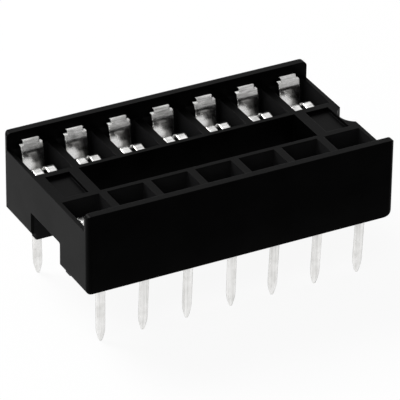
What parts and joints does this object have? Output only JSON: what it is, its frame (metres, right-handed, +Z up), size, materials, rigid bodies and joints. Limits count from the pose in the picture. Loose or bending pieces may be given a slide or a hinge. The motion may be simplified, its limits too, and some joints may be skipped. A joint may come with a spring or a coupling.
{
  "type": "dual-in-line ic socket",
  "caption": "Open-frame dual-in-line socket for integrated circuits: black moulded ladder housing, tin-plated dual-leaf spring contacts and straight solder tails.",
  "frame": {"origin": "centre of the grid of solder tails, in the plane of the board that the housing stands on", "axes": "+X along the rows towards the end with the polarity notch, +Y across the rows, +Z up out of the board"},
  "size_m": [0.0178, 0.01, 0.0083],
  "materials": {
    "black_plastic": "satin moulded thermoplastic",
    "tin_plate": "bright tin plate over spring bronze"
  },
  "bodies": {
    "root": {"housing": "black_plastic", "contact_01": "tin_plate", "contact_02": "tin_plate", "contact_03": "tin_plate", "contact_04": "tin_plate", "contact_05": "tin_plate", "contact_06": "tin_plate", "contact_07": "tin_plate", "contact_08": "tin_plate", "contact_09": "tin_plate", "contact_10": "tin_plate", "contact_11": "tin_plate", "contact_12": "tin_plate", "contact_13": "tin_plate", "contact_14": "tin_plate"}
  },
  "joints": []
}
